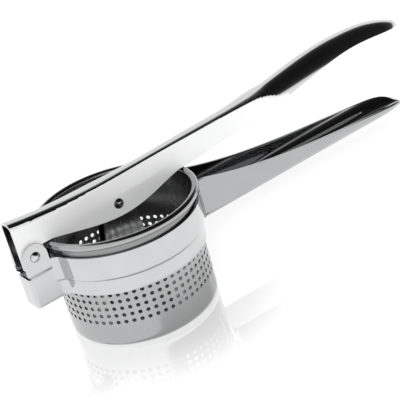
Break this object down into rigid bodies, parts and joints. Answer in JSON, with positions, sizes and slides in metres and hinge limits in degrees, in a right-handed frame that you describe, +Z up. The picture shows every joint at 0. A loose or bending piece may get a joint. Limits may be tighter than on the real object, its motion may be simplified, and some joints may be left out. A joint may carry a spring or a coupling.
{
  "type": "potato ricer",
  "caption": "Hand potato ricer: perforated cup hung in a collar with a lower handle, and a hinged press handle that drives a disc plunger down the cup.",
  "frame": {"origin": "middle of the cup's flat base, on the surface that the tool stands on", "axes": "+X from the cup towards the two grips, +Y to the left when facing the grips, +Z up along the cup"},
  "size_m": [0.2635, 0.09, 0.09],
  "materials": {
    "cup_steel": "polished stainless sheet",
    "collar_steel": "polished stainless sheet",
    "handle_steel": "mirror polished stainless sheet",
    "plunger_steel": "satin stainless sheet",
    "rivet_steel": "polished stainless",
    "bearing_steel": "turned steel"
  },
  "bodies": {
    "frame": {"basket": "cup_steel", "collar": "collar_steel", "lower_handle": "handle_steel", "hinge_rivet": "rivet_steel", "hinge_washers": "bearing_steel"},
    "press": {"press_handle": "handle_steel", "hinge_bush": "bearing_steel", "plunger_rivet": "rivet_steel", "plunger_washers": "bearing_steel"},
    "plunger": {"plunger_bracket": "plunger_steel", "plunger_disc": "plunger_steel", "plunger_bush": "bearing_steel"}
  },
  "joints": [
    {"name": "press_hinge", "type": "hinge", "parent": "frame", "child": "press", "pos_m": [-0.0531, 0, 0.0605], "axis": [0, -1, 0], "range_deg": [0, 85]},
    {"name": "plunger_pivot", "type": "hinge", "parent": "press", "child": "plunger", "pos_m": [0, 0, 0.064], "axis": [0, -1, 0], "range_deg": [-39, 0]}
  ],
  "couplings": [
    {"joint": "plunger_pivot", "follows": "press_hinge", "ratio": -0.45}
  ]
}
